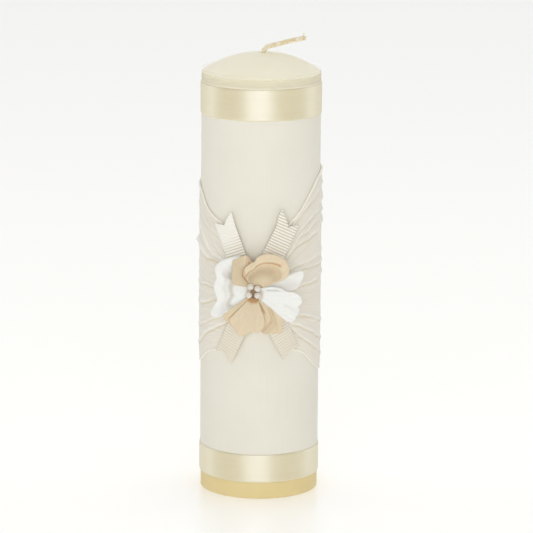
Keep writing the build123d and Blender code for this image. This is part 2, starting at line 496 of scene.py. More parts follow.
def makeWax():
    radius, top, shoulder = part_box("wax_pillar")[1].x / mm, wax["top"], wax["shoulder"]
    bulge = (radius**2 + (top - shoulder) ** 2) / (2 * (top - shoulder))

    def dome(r):
        away = (r - wax["boreRadius"]) / (wax["dimpleRadius"] - wax["boreRadius"])
        return top - bulge + sqrt(bulge**2 - r * r) - wax["dimpleDepth"] * (1 - smooth(away))

    outline = [(wax["boreRadius"], wax["neckHeight"]), (wax["neckRadius"], wax["neckHeight"])]
    outline += [(wax["neckRadius"], wax["seatDepth"]), (wax["seatRadius"], wax["seatDepth"])]
    outline.append((wax["seatRadius"], 0))
    edge = wax["edge"]
    outline += [(r, 0) for r in (16.0, 24.0, 30.0)]
    for k in range(7):
        turn = k * pi / 12
        outline.append((radius - edge + edge * sin(turn), edge - edge * cos(turn)))
    outline += [(radius, edge + (shoulder - 1.2 - edge) * k / 80) for k in range(1, 80)]
    shoulderEdge = wax["shoulderEdge"]
    for k in range(7):
        turn = k * radians(56) / 6
        outline.append((radius - shoulderEdge * (1 - cos(turn)), shoulder - 1.1 + shoulderEdge * sin(turn)))
    inner = outline[-1][0] - 0.8
    drop = outline[-1][1] - dome(outline[-1][0])
    for k in range(46):
        r = inner + (wax["boreRadius"] - inner) * (k / 45) ** 0.85
        outline.append((r, dome(r) + drop * smooth((r - inner + 4) / 4) * 0.5))
    bm = lathe(outline, wax["steps"], closed=True)
    for vert in bm.verts:
        reach = hypot(vert.co.x, vert.co.y) / mm
        vert.co.x += wax["wickX"] * mm * (1 - smooth((reach - 12) / 20))
        if reach > 12 and vert.co.z > 0.0005:
            vert.co += vert.co.normalized() * wax["waver"] * mm * noise.noise(vert.co * 60)
    return finishPiece(bm, "wax_body", waxMaterial(), "ivory_wax", ["wax_pillar"])


makeWax()
print("wax ready")


# Sheer sleeve

sleeve = {
    "radius": 35.28,
    "thickness": 0.2,
    "lapAngle": 16.0,
    "lapLift": 0.32,
    "lapCentre": 188.0,  # degrees from the front
    "columns": 376,
    "rows": 64,
    "rimWave": 0.35,
}


def weave(start, pitch):
    # threads over and under, from the cloth's flat size
    across, along = start.flat().split()[:2]
    return (across * (2 * pi / pitch)).wave() * (along * (2 * pi / pitch)).wave()


def sleeveMaterial():
    made, start, place = newMaterial("sleeve organza")
    flat = start.flat()
    warp = flat.stretched(1.6, 0.03).mottle(1.0, 3.0)
    weft = flat.stretched(0.02, 1.3).mottle(1.0, 3.0)
    cloud = place.mottle(0.03)
    height = place.split()[2]
    slub = warp * 0.6 + weft * 0.4
    body = (slub * 0.5 + cloud * 0.5).within(0.3, 0.7).blend(tone(234, 230, 217), tone(238, 235, 223))
    # above the band the sleeve is painted paler and wax-like: partly the wax seen through it, partly painted
    # light that cancels the shade it casts on the wax
    colour = height.within(243.0, 245.0).blend(body, tone(250, 244, 222))
    normal = start.bump(weave(start, 0.42) * 0.03 + slub * 0.3, 0.25)
    # above the band the wax shows through, and the free rim all but vanishes
    alpha = 1 - height.within(245.4, 247.6) * 0.55 - height.within(250.4, 251.6) * 0.38
    return finishMaterial(made, start, colour, 0.7, normal, alpha, Sheen_Weight=0.15, Specular_ior_Level=0.35)


def makeSleeve():
    low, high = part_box("organza_sleeve")
    bottom, top = low.z / mm, high.z / mm
    width = 2 * pi * sleeve["radius"] * (360 + sleeve["lapAngle"]) / 360

    def place(u, v):
        angle, onLap = lapAt(sleeve, u)
        rim = sleeve["rimWave"] * cos(radians(angle + 70)) * v
        height = bottom + (top - bottom) * v + rim
        radius = sleeve["radius"] + sleeve["lapLift"] * onLap
        radius += 0.04 * noise.noise(Vector((angle / 9, height / 60, 3)))
        return onPillar(angle, radius, height), 0.0

    bm = bmesh.new()
    addCloth(bm, sleeve["columns"], sleeve["rows"], width, top - bottom, place)
    organza, thickness = sleeveMaterial(), sleeve["thickness"]
    piece = finishPiece(bm, "sleeve_cloth", organza, "sleeve_organza", ["organza_sleeve"], thickness)


makeSleeve()
print("sleeve ready")


# Satin bands

satin = {
    "radius": 35.78,
    "thickness": 0.28,
    "lapAngle": 16.0,
    "lapLift": 0.36,
    "lapCentre": 198.0,
    "columns": 376,
    "rows": 28,
    "selvedge": 0.07,
    "edgeDip": 0.28,
}


def satinMaterial():
    made, start = newMaterial("satin ribbon")[:2]
    flat = start.flat()
    floats = flat.stretched(0.05, 5.0).mottle(1.0, 3.0)
    long = flat.stretched(0.02, 0.8).mottle(1.0, 2.0)
    colour = (floats * 0.6 + long * 0.4).within(0.3, 0.7).blend(tone(243, 220, 146), tone(248, 229, 160))
    roughness = 0.46 + floats * 0.08
    ridges = (flat.split()[1] * (2 * pi / 0.35)).wave() * 0.03
    normal = start.bump(floats * 0.15 + long * 0.25 + ridges, 0.2)
    return finishMaterial(
        made,
        start,
        colour,
        roughness,
        normal,
        Anisotropic=0.78,
        ior=2.9,
        Specular_Tint=(0.78, 0.86, 1.0, 1.0),
        Anisotropic_Rotation=0.25,  # the shine spreads up and down, across the floats
        Specular_ior_Level=1.0,
    )


def makeSatinBand(end, material):
    low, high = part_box(end + "_satin_ribbon")
    bottom, top = low.z / mm, high.z / mm
    width = 2 * pi * satin["radius"] * (360 + satin["lapAngle"]) / 360

    def place(u, v):
        angle, onLap = lapAt(satin, u)
        fromEdge = min(v, 1 - v) * (top - bottom)
        radius = satin["radius"] + satin["lapLift"] * onLap
        radius += satin["selvedge"] * exp(-((fromEdge - 0.9) / 0.4) ** 2)
        radius -= satin["edgeDip"] * exp(-fromEdge / 0.45)  # the edges hug the sleeve
        radius += 0.03 * noise.noise(Vector((angle / 14, v * 2, 9)))
        wander = 0.08 * noise.noise(Vector((angle / 30, v, 5)))
        return onPillar(angle, radius, bottom + (top - bottom) * v + wander), 0.0

    bm = bmesh.new()
    addCloth(bm, satin["columns"], satin["rows"], width, top - bottom, place)
    name = end + "_band"
    piece = finishPiece(bm, name, material, "satin_ribbon", [end + "_satin_ribbon"], satin["thickness"])


satinFinish = satinMaterial()
for end in ("top", "bottom"):
    makeSatinBand(end, satinFinish)
print("satin bands ready")


# Sash

sash = {
    "radius": 35.85,
    "sleeveRadius": 35.3,
    "thickness": 0.18,
    "columns": 340,
    "rows": 130,
    "frontDetail": 0.07,  # how much closer the columns are at the front
    "flat": (0.236, 0.122),
    # angle from the front towards +X, height in mm
    "topRight": [(0.6, 132.5), (8, 141.5), (16, 151.5), (28, 165.6), (35.5, 169.9), (43.9, 175.2),
                 (53.8, 182.1)],
    "topBack": [(65, 188.7), (76.5, 192.2), (95, 194.3), (135, 192.5), (180, 190), (225, 187.5),
                (270, 184.2)],
    "topLeft": [(285.5, 181.2), (296.8, 174.7), (306.2, 170.3), (315, 167.6), (322.5, 164.7), (335.6, 149.5)],
    "lowRight": [(0.6, 120.7), (8, 113.8), (16, 105.2), (30.5, 90.9), (38.3, 89.1), (47.4, 86.3),
                 (56.9, 80.9)],
    "lowBack": [(64.6, 77.4), (77.2, 73.6), (95, 72.4), (135, 73), (180, 74), (225, 75), (270, 76.6)],
    "lowLeft": [(285.2, 79.3), (302, 85.8), (317, 88.8), (323, 88.9), (335.6, 103.8)],
    "neckHalf": 5.0,
    "hemRadius": 0.7,
    "bundle": 52,  # small folds that leave the knot
    "crinkle": 0.08,
    "edgeRun": 5,  # mm over which the edges come down to the sleeve
}
# folds that stand out: route of (angle, height), height above the cloth, width
boldFolds = [
    ([(-105, 152), (-76, 148.5), (-66.8, 145.5), (-53.3, 144.0), (-42, 143.4), (-20, 136)], 1.25, 1.5),
    ([(-88, 163), (-64.6, 154.8), (-58.5, 149.5), (-50.3, 146.6), (-40.8, 144.9), (-20, 137)], 1.2, 1.3),
    ([(-80, 171), (-62.5, 163.4), (-53.4, 156.7), (-44.7, 150.3), (-20, 139)], 0.6, 1.0),
    ([(-72, 174), (-55.2, 164.9), (-46.1, 155.6), (-38.5, 149.1), (-20, 140)], 0.5, 0.8),
    ([(-130, 125), (-75.7, 126.1), (-60.1, 127.2), (-48.6, 126.8), (-18, 127)], 0.55, 1.0),
    ([(-120, 112), (-75.4, 114.6), (-56.3, 117.7), (-44.4, 120.3), (-18, 125)], 0.45, 1.4),
    ([(-110, 84), (-74.9, 91.5), (-59.7, 98.5), (-44.3, 103.4), (-32.3, 107.5), (-16, 119)], 0.55, 1.4),
    ([(-105, 97), (-71.6, 101.7), (-52.9, 106.6), (-36.9, 110.8), (-16, 121)], 0.45, 1.1),
    ([(100, 188), (72.5, 183.2), (60.7, 179.1), (47.9, 174.4), (37.9, 169.3), (31.2, 163.1),
      (14, 140)], 0.6, 1.1),
    ([(110, 181), (73.1, 174.2), (61.0, 169.5), (49.6, 165.3), (39.2, 160.8), (32.4, 155.9),
      (12, 137)], 0.8, 1.1),
    ([(115, 172), (77.3, 168.2), (63.2, 164.5), (51.1, 160.9), (40.5, 157.7), (12, 135)], 0.7, 1.0),
    ([(120, 165), (77.8, 162.1), (65.6, 158.8), (51.3, 156.1), (40.6, 154.1), (32.5, 151.1),
      (12, 133)], 0.95, 1.2),
    ([(125, 147), (79.4, 145.0), (58.1, 142.8), (40.8, 141.5), (31.6, 140.4), (10, 131)], 0.5, 1.2),
    ([(120, 139), (80, 138.8), (58.3, 138.5), (44.7, 138.9), (36.1, 137.7), (10, 130)], 0.7, 0.9),
    ([(130, 133), (80, 131.5), (55.1, 129.2), (41.1, 128.8), (32.9, 127.1), (8, 126)], 0.75, 1.0),
    ([(125, 98), (85.5, 102.8), (55.7, 108.6), (41.4, 111.3), (32.1, 112.0), (8, 121)], 0.55, 1.1),
    ([(115, 86), (79.1, 93.3), (52.7, 101.1), (39.1, 104.9), (27.9, 108), (8, 119)], 0.5, 1.2),
    ([(105, 78), (80.0, 84.0), (52.9, 93.7), (39.2, 99.4), (8, 117)], 0.5, 1.2),
]


def sashEdges():
    start, half = knotAngle, sash["neckHalf"]
    edges = []
    for sign, names in ((1, ("topRight", "topBack", "topLeft")), (-1, ("lowRight", "lowBack", "lowLeft"))):
        line = [(start, flowerZ + sign * half)]
        for name in names:
            line += sash[name]
        line += [(344, flowerZ + sign * 13), (349.5, flowerZ + sign * half)]
        line.append((start + 360, flowerZ + sign * half))
        edges.append(line)
    return edges


def smallFolds():
    chance = random.Random(21)
    folds = []
    for k in range(sash["bundle"]):
        across = (k + chance.uniform(0.1, 0.9)) / sash["bundle"]
        side = chance.choice((1, -1))
        reach = chance.uniform(50, 200)
        rise, width, phase = chance.uniform(0.12, 0.34), chance.uniform(0.6, 1.2), chance.uniform(0, 9)
        folds.append((across, side, reach, rise, width, phase))
    return folds


def ridge(distance, width):
    # a ridge's section: a rounded crest, steeper below than above
    t = distance / (width * (0.75 if distance < 0 else 1.2))
    return exp(-abs(t) ** 1.7)


def makeSashShape():
    top, low = sashEdges()
    small = smallFolds()
    columns = {}

    def column(u):
        angle = knotAngle + 360 * (u - sash["frontDetail"] * sin(2 * pi * u))
        facing = angle if angle < 180 else angle - 360
        high, bottom = along(top, angle), along(low, angle)
        squeeze = min(1.0, 0.3 + 0.7 * (high - bottom) / 100)
        near = min(abs(facing - knotAngle) / 30, 1.0)
        crests = []
        for route, rise, width in boldFolds:
            ends = sorted((route[0][0], route[-1][0]))
            if ends[0] < facing < ends[1]:
                level = along(sorted(route), facing)
                fade = smooth(min(facing - ends[0], ends[1] - facing) / 14)
                uneven = noise.noise(Vector((angle / 11, route[0][1], 3)))
                fade *= (0.8 if abs(facing) > 90 else 1.0) * (1 + 0.5 * uneven)
                level += 0.8 * noise.noise(Vector((angle / 9, route[0][1], 6))) * near
                crests.append((level, 1.2 * rise * fade, 0.8 * width * (0.55 + 0.45 * squeeze)))
        for across, side, reach, rise, width, phase in small:
            gone = (angle - knotAngle) if side > 0 else (360 + knotAngle - angle)
            if gone < reach:
                wander = 0.03 * noise.noise(Vector((gone / 22, phase, 1)))
                level = bottom + (high - bottom) * (across + wander)
                fade = smooth(gone / 12) * smooth((reach - gone) / 40)
                fade *= 0.8 + 0.7 * noise.noise(Vector((gone / 15, phase, 8)))
                crests.append((level, rise * fade, width * squeeze))
        return angle, high, bottom, near, crests

    def place(u, v):
        key = round(u, 6)
        if key not in columns:
            columns[key] = column(u)
        angle, high, bottom, near, crests = columns[key]
        height = bottom + (high - bottom) * v
        rise, foldShadow = 0.0, 0.0
        for level, tall, width in crests:
            distance = height - level
            if abs(distance) < 4 * width:
                crest = tall * ridge(distance, width)
                rise = max(rise, crest) + 0.25 * min(rise, crest)
                foldShadow = max(foldShadow, tall * ridge(distance + 1.7 * width, 0.7 * width))
        crinkle = noise.noise(Vector((angle / 5, height / 1.6, 1)))
        crinkle += 0.6 * noise.noise(Vector((angle / 2.4, height / 0.9, 4)))
        # painted light: each crest is painted lighter, a painted highlight, and a narrow band just below it
        # darker, a painted shadow; the mesh carries both as its shade
        shade = 0.5 + 0.5 * min(1.0, rise / 0.75) - 0.5 * min(1.0, foldShadow / 0.8)
        rise = (rise + sash["crinkle"] * crinkle * near) * (0.45 + 0.55 * near)
        inside = smooth(min(high - height, height - bottom) / sash["edgeRun"])
        radius = sash["sleeveRadius"] + 0.25 + (sash["radius"] - sash["sleeveRadius"]) * inside
        return onPillar(angle, radius + max(rise, -0.1), height), min(max(shade, 0.0), 1.0)

    return place, top, low


def chiffonMaterial():
    made, start = newMaterial("sash chiffon")[:2]
    flat = start.flat()
    streak = flat.stretched(0.035, 0.5).mottle(1.0, 5.0, 0.62)
    crimp = flat.stretched(0.25, 1.7).mottle(1.0, 3.0)
    fold = start.fold()
    # painted light: high shade lightens the fold crests, a painted highlight, and low shade gives the tan
    # painted shadow below each fold; the streaks and crimp are the cloth's own uneven tone
    level = fold.within(0.5, 1.0) * 0.6 + streak.within(0.35, 0.68) * 0.3 + crimp * 0.15
    cloth = level.blend(tone(234, 228, 213), tone(251, 248, 240))
    colour = fold.within(0.1, 0.5).blend(tone(221, 208, 182), cloth)
    normal = start.bump(streak * 1.1 + crimp * 0.35 + weave(start, 0.5) * 0.04, 0.45)
    return finishMaterial(made, start, colour, 0.6, normal, Sheen_Weight=0.3, Sheen_Roughness=0.4)


def hemMaterial():
    made, start, place = newMaterial("rolled hem")
    fibres = place.mottle(1.4, 4.0)
    colour = fibres.blend(tone(243, 237, 221), tone(254, 251, 242))
    return finishMaterial(made, start, colour, 0.55, start.bump(fibres, 0.3), Sheen_Weight=0.4)


def makeSash():
    place, top, low = makeSashShape()
    bm = bmesh.new()
    width, length = (side / mm for side in sash["flat"])
    made = addCloth(bm, sash["columns"], sash["rows"], width, length, place)
    bmesh.ops.remove_doubles(bm, verts=made, dist=1e-6)
    piece = finishPiece(bm, "sash_cloth", chiffonMaterial(), "sash_chiffon", ["sash"], sash["thickness"], 0.0)
    hems = []
    for edge, size, sign in ((top, 1.0, -1), (low, 0.65, 1)):
        line = []
        for k in range(721):
            angle = knotAngle + k / 2
            height = along(edge, angle) + sign * 0.3
            thick = size * (1 + 0.18 * noise.noise(Vector((angle / 4, 7, 2))))
            radius = sash["sleeveRadius"] + sash["hemRadius"] * thick
            radius += 0.1 * abs(noise.noise(Vector((angle / 6, 0, 2))))
            line.append((onPillar(angle, radius, height), thick))
        hems.append(line)
    hem = tubes("sash_hem", hems, sash["hemRadius"], hemMaterial(), "sash_chiffon")


makeSash()
print("sash ready")


# Grosgrain strips

grosgrain = {
    "halfWidth": 6.35,
    "thickness": 0.22,
    "ribPitch": 1.65,
    "ribHeight": 0.15,
    "crown": 0.25,
    "waver": 0.15,
    "rootReach": 14,  # mm from the flower that it hides
    "columns": 460,
    "rows": 24,
    "radius": {"a": 37.25, "b": 37.65},
    "flat": (0.0127, 0.092),
    # Each leg: how far to +X of the flower it starts, angle from +Z towards +X, reach of its left tip,
    # notch and right tip, how far the tips spread to left and right, lift of the end, and painted
    # brightness at the root and the end: below 1 the ribs get painted shade, above 1 a painted highlight
    # fades them into plain white
    "a": {
        "low": (2.8, 152.5, (44.1, 41.0, 43.4), (0.3, 0.2), -0.5, (0.6, 0.2)),
        "high": (-3.7, -21.0, (43.3, 40.9, 47.2), (0.0, 0.6), 0.9, (0.95, 1.75)),
    },
    "b": {
        "low": (0.1, -155.0, (45.6, 42.0, 47.0), (0.6, 0.0), -0.4, (0.3, 0.0)),
        "high": (0.7, 26.0, (50.2, 42.2, 46.0), (1.7, 0.0), 1.1, (0.85, 1.1)),
    },
}


def grosgrainMaterial():
    made, start, place = newMaterial("grosgrain")
    across, along = start.flat().split()[:2]
    bright = start.fold()
    rib = ((along * (2 * pi / grosgrain["ribPitch"])).wave() * 0.5 + 0.5).within(0.02, 0.6)
    threads = (across * (2 * pi / 0.42)).wave()
    fibre = place.mottle(1.5)
    # painted light: crests are painted lighter and valleys darker, painted shade between the ribs; low
    # brightness, on the lower legs and towards their ends, gives a dim flat tan of painted shade, and
    # brightness above 1.1 fades the ribs into plain white, a painted highlight
    lit = bright.within(0.0, 1.0)
    crest = lit.blend(tone(236, 228, 212), tone(250, 247, 238))
    valley = lit.blend(tone(230, 220, 200), tone(208, 196, 172))
    plain = (rib + bright.within(1.1, 1.7)).math("MINIMUM", 1.0)
    colour = (plain * 0.92 + fibre * 0.08).blend(valley, crest)
    normal = start.bump(threads * 0.04 + rib * 0.15 + fibre * 0.08, 0.5)
    return finishMaterial(made, start, colour, 0.6, normal, Sheen_Weight=0.3, Specular_ior_Level=0.4)


def makeStrip(name, material):
    radius, legs = grosgrain["radius"][name], grosgrain[name]
    half, pitch = grosgrain["halfWidth"], grosgrain["ribPitch"]
    flowerAngle = degrees(asin(flowerX / radius))

    def endReach(leg, w):
        # how far the swallowtail reaches at w, -1 to 1 across
        left, notch, right = leg[2]
        return notch + ((left if w < 0 else right) - notch) * abs(w) ** 0.9

    def middleAt(q):
        # the strip's middle line, unrolled, q mm above the flower's centre along the strip
        places = []
        for leg, sign in ((legs["low"], -1), (legs["high"], 1)):
            turn = radians(leg[1])
            places.append(Vector((leg[0], 0)) + sign * q * Vector((sin(turn), cos(turn))))
        return places[0].lerp(places[1], smooth((q + 12) / 24))

    def place(u, v):
        w, t = 2 * v - 1, 2 * u - 1
        leg = legs["high"] if t > 0 else legs["low"]
        reach = endReach(leg, w)
        q = t * reach
        gone = abs(q)
        ahead = (middleAt(q + 0.5) - middleAt(q - 0.5)).normalized()
        other = Vector((ahead.y, -ahead.x))
        spread = leg[3][0] if w < 0 else leg[3][1]
        side = w * half * (1 + 0.01 * cos(2 * pi * gone / pitch))
        side += spread * w * abs(w) * smooth((gone - leg[2][1] + 4) / 9)
        across, height = middleAt(q) + side * other
        rib = abs(cos(pi * gone / pitch)) ** 0.6
        lift = leg[4] * smooth((gone - reach * 0.45) / (reach * 0.55)) ** 1.5
        lift += grosgrain["ribHeight"] * rib + grosgrain["crown"] * (1 - w * w)
        lift += grosgrain["waver"] * noise.noise(Vector((gone / 12, w, radius)))
        shown = smooth((gone - grosgrain["rootReach"]) / (reach - grosgrain["rootReach"]))
        bright = leg[5][0] + (leg[5][1] - leg[5][0]) * shown
        return onPillar(flowerAngle + degrees(across / radius), radius + lift, flowerZ + 0.4 + height), bright

    bm = bmesh.new()
    addCloth(bm, grosgrain["columns"], grosgrain["rows"], 2.0, 2.0, place)
    flat = bm.loops.layers.uv["flat"]
    for face in bm.faces:  # ribs lie square across the strip right into the swallowtails
        for loop in face.loops:
            t, w = loop[flat].uv.x - 1, loop[flat].uv.y - 1
            leg = legs["high"] if t > 0 else legs["low"]
            loop[flat].uv = (w * half, t * endReach(leg, w) + pitch / 4)
    node, thickness = "grosgrain_strip_" + name, grosgrain["thickness"]
    piece = finishPiece(bm, f"strip_{name}_ribbon", material, "grosgrain_ribbon", [node], thickness)


ribbed = grosgrainMaterial()
for name in ("a", "b"):
    makeStrip(name, ribbed)
print("grosgrain strips ready")


# Flower

petal = {"thickness": 0.28, "gap": 0.3, "ruffle": 0.12, "columns": 84, "rows": 44}
petalCuts = {
    "petal_left": {"slot": "petal_white", "flat": (0.040, 0.030), "area": 0.00085},
    "petal_right": {"slot": "petal_white", "flat": (0.040, 0.030), "area": 0.00058},
    "petal_bottom": {"slot": "petal_beige", "flat": (0.036, 0.026), "area": 0.00075},
    "petal_top": {"slot": "petal_beige", "flat": (0.036, 0.026), "area": 0.00075},
}
# Each fan: root from and to (x, z, forward), rim as (x, z, forward), all in mm from the flower's centre.
# profile is (share of the way out, forward). Marks are (route of (across, out), forward, shade, width):
# shade above 0 is warm painted shade, as in a crease, below 0 grey painted shade, as in a hollow.
# A fan's own shade is painted shade, the same for all of it, and ease flattens its profile towards its sides.
petalFans = [
    {
        "petal": "petal_left",
        "root": ((-3.0, -1.6, 0.6), (-1.5, 3.5, 0.4)),
        "rim": [(-18.6, -12.3, 2.6), (-21.4, -14.1, 2.8), (-24.6, -13.9, 2.6), (-25.7, -11.6, 2.3),
                (-24.2, -8.0, 2.0), (-22.0, -4.4, 2.2), (-22.4, -1.4, 2.2), (-23.6, 2.2, 2.6),
                (-23.8, 5.8, 2.9), (-22.3, 9.3, 2.6), (-22.8, 12.0, 2.8), (-23.4, 14.6, 2.8),
                (-21.9, 17.4, 2.6), (-18.8, 19.7, 2.3), (-15.5, 20.8, 2.0), (-12.4, 21.5, 1.6),
                (-8.6, 21.8, 1.2)],
        "profile": [(0, 0), (0.3, -0.1), (0.52, -1.5), (0.66, -1.3), (0.8, 0.45), (0.92, 0.7), (1, 0)],
        "marks": [([(0.03, 0.1), (0.05, 0.5), (0.05, 1.0)], 1.2, 0.0, 0.06),
                  ([(0.12, 0.55), (0.3, 0.55), (0.5, 0.54), (0.72, 0.6)], 0.0, -0.72, 0.085),
                  ([(0.12, 0.72), (0.3, 0.74), (0.5, 0.74), (0.7, 0.78)], 0.3, 0.0, 0.05),
                  ([(0.42, 0.3), (0.40, 1.0)], 0.4, 0.0, 0.05), ([(0.62, 0.4), (0.66, 1.0)], 0.4, 0.0, 0.06),
                  ([(0.0, 0.0), (0.0, 0.5)], 0.0, 0.75, 0.03), ([(0.0, 0.06), (1.0, 0.06)], 0.0, 0.5, 0.07)],
    },
    {
        "petal": "petal_right",
        "root": ((2.0, 4.0, 0.5), (3.0, 1.5, 0.5)),
        "rim": [(27.0, 13.4, 0.9), (28.7, 12.5, 1.2), (28.3, 9.0, 1.4), (26.6, 5.2, 1.3), (25.0, 2.6, 1.0),
                (22.0, 1.2, 0.6), (18.0, 0.6, 0.4)],
        "profile": [(0, 0), (0.5, -0.3), (0.8, -0.2), (1, 0)],
        "marks": [([(0.45, 0.2), (0.5, 1.0)], -0.5, -0.15, 0.14), ([(0.1, 0.5),
                  (0.9, 0.9)], 0.0, -0.25, 0.35),
                  ([(0.15, 0.3), (0.12, 0.8)], 0.4, 0.0, 0.05), ([(0.0, 0.0),
                    (0.0, 0.75)], 0.0, 0.55, 0.035)],
    },
    {
        "petal": "petal_right",
        "root": ((2.2, 2.6, 0.9), (2.6, -4.0, 0.7)),
        "rim": [(10.5, 4.0, 1.9), (15.7, 3.1, 2.3), (18.7, 1.4, 2.6), (23.1, 0.8, 2.8), (26.5, -1.2, 2.7),
                (28.0, -4.4, 2.6), (27.2, -6.6, 2.4), (25.7, -8.0, 2.3), (26.5, -9.8, 2.4),
                (26.0, -12.2, 2.5), (24.6, -13.8, 2.5), (23.9, -15.6, 2.6), (22.0, -16.9, 2.6),
                (19.4, -16.9, 2.6), (17.4, -15.4, 2.4), (15.6, -13.2, 2.2), (13.2, -10.8, 2.0)],
        "profile": [(0, 0), (0.3, 0.4), (0.65, 0.8), (0.9, 0.4), (1, 0)],
        "marks": [([(0.14, 0.3), (0.12, 0.7)], -0.6, -0.6, 0.05), ([(0.3, 0.35),
                  (0.34, 0.6)], 0.35, 0.0, 0.06),
                  ([(0.5, 0.62), (0.53, 1.0)], -0.35, -0.25, 0.035),
                  ([(0.72, 0.7), (0.71, 1.0)], -0.3, -0.2, 0.03),
                  ([(0.0, 0.06), (1.0, 0.06)], 0.0, 0.5, 0.08), ([(1.0, 0.1), (1.0, 0.5)], 0.0, 0.6, 0.03)],
    },
    {
        "petal": "petal_bottom",
        "root": ((2.6, -3.6, 0.3), (1.2, -5.0, 0.3)),
        "shade": -0.1,
        "rim": [(15.0, -11.8, 0.7), (16.2, -12.6, 1.0), (16.6, -15.2, 1.1), (16.6, -18.4, 1.2),
                (16.4, -21.4, 1.2), (15.9, -23.8, 1.2), (13.2, -24.4, 1.2), (9.6, -24.4, 1.2),
                (6.0, -24.5, 1.1), (3.0, -22.5, 0.4)],
        "profile": [(0, 0), (0.5, 0.0), (1, 0)],
        "marks": [([(0.12, 0.4), (0.42, 0.62), (0.66, 0.8), (0.84, 1.0)], 0.9, -0.3, 0.055),
                  ([(0.02, 0.36), (0.34, 0.66), (0.56, 0.84), (0.72, 1.0)], -0.3, 0.35, 0.05),
                  ([(0.3, 0.4), (0.6, 0.62), (0.8, 0.8), (0.95, 1.0)], -0.4, 0.5, 0.06),
                  ([(0.0, 0.2), (0.02, 0.62)], 0.0, 1.0, 0.06), ([(0.6, 0.1),
                    (0.68, 0.34)], 0.0, 0.75, 0.09)],
    },
    {
        "petal": "petal_bottom",
        "root": ((-3.0, -2.2, 0.4), (-2.2, -3.6, 0.4)),
        "rim": [(-17.2, -11.6, 0.9), (-18.0, -13.8, 1.2), (-17.2, -16.4, 1.2), (-15.2, -18.2, 1.1),
                (-12.0, -20.0, 0.8)],
        "profile": [(0, 0), (0.5, 0.3), (1, 0)],
        "marks": [([(0.45, 0.25), (0.48, 1.0)], 0.5, -0.1, 0.13), ([(0.85, 0.3),
                  (0.8, 0.8)], -0.3, 0.55, 0.13),
                  ([(0.0, 0.2), (0.0, 0.8)], 0.0, 0.5, 0.07)],
    },
    {
        "petal": "petal_bottom",
        "root": ((-2.6, -3.0, 0.9), (2.0, -3.8, 0.9)),
        "rim": [(-14.6, -15.6, 2.2), (-14.2, -17.8, 2.4), (-12.4, -20.0, 2.5), (-10.9, -21.6, 2.6),
                (-9.8, -24.2, 2.6), (-6.8, -25.7, 2.6), (-4.2, -24.7, 2.5), (-2.2, -23.4, 2.5),
                (0.4, -23.7, 2.5), (3.0, -23.0, 2.4), (5.2, -21.0, 2.3), (6.1, -18.0, 2.2),
                (5.7, -15.6, 2.1), (5.0, -13.4, 2.0)],
        "profile": [(0, 0), (0.3, 0.6), (0.7, 0.9), (0.92, 0.5), (1, 0)],
        "marks": [([(0.3, 0.5), (0.28, 0.95)], 0.12, -0.1, 0.04), ([(0.6, 0.5),
                  (0.62, 0.95)], 0.12, -0.1, 0.04),
                  ([(0.0, 0.06), (1.0, 0.06)], 0.0, 0.9, 0.09)],
    },
    {
        "petal": "petal_top",
        "root": ((-2.4, 3.2, 1.2), (-0.6, 4.2, 1.0)),
        "shade": -0.35,
        "rim": [(-11.8, 4.8, 2.9), (-12.9, 6.6, 3.1), (-13.0, 12.0, 3.2), (-13.0, 17.6, 3.0),
                (-12.4, 19.8, 2.8), (-9.6, 21.2, 2.7), (-6.2, 22.4, 2.6), (-3.8, 22.0, 2.5),
                (-1.4, 18.2, 2.2)],
        "profile": [(0, 0), (0.5, 0.2), (1, 0)],
        "marks": [([(0.93, 0.2), (0.86, 0.6), (0.95, 1.0)], -0.9, 0.7, 0.06),
                  ([(0.8, 0.3), (0.74, 0.7), (0.84, 1.0)], 0.0, 0.7, 0.06),
                  ([(0.5, 0.1), (0.66, 0.45)], 0.0, 0.8, 0.1)],
    },
    {
        "petal": "petal_top",
        "root": ((-1.2, 3.4, 1.5), (4.2, 2.8, 1.3)),
        "shade": -0.1,
        "ease": 0.24,
        "rim": [(-6.9, 10.2, 3.9), (-6.9, 13.0, 4.0), (-5.4, 15.9, 3.9), (-2.6, 17.9, 3.8), (-0.1, 19.2, 3.8),
                (1.0, 21.2, 4.0), (3.4, 22.9, 4.2), (6.4, 23.8, 4.3), (9.4, 23.8, 4.3), (12.4, 23.3, 4.2),
                (15.2, 22.1, 4.1), (17.6, 20.6, 4.0), (19.4, 18.0, 3.8), (20.2, 15.4, 3.6), (20.2, 12.4, 3.4),
                (18.8, 10.0, 3.1), (17.4, 8.2, 2.8)],
        "profile": [(0, 0), (0.25, -0.9), (0.58, -2.4), (0.66, -2.1), (0.74, -0.1), (0.88, 0.5), (1, 0)],
        "marks": [([(0.0, 0.15), (0.0, 1.0)], 0.5, 1.0, 0.022), ([(0.03, 0.5), (0.07, 0.95)], 0.0, 0.5, 0.05),
                  ([(0.1, 0.66), (0.27, 0.70), (0.4, 0.70), (0.57, 0.75), (0.69, 0.79)], 0.0, 0.9, 0.04),
                  ([(0.0, 1.0), (0.08, 1.0), (0.15, 1.0)], 0.0, 0.8, 0.03),
                  ([(0.3, 0.86), (0.5, 0.88), (0.7, 0.9)], 0.0, 0.2, 0.08),
                  ([(0.18, 0.86), (0.26, 0.98)], -0.3, 0.2, 0.04),
                  ([(0.16, 0.45), (0.4, 0.45), (0.66, 0.5)], 0.0, -0.55, 0.2),
                  ([(0.9, 0.5), (0.95, 0.9)], 0.4, 0.0, 0.08), ([(0.1, 0.04), (1.0, 0.04)], 0.0, 0.8, 0.06)],
    },
]


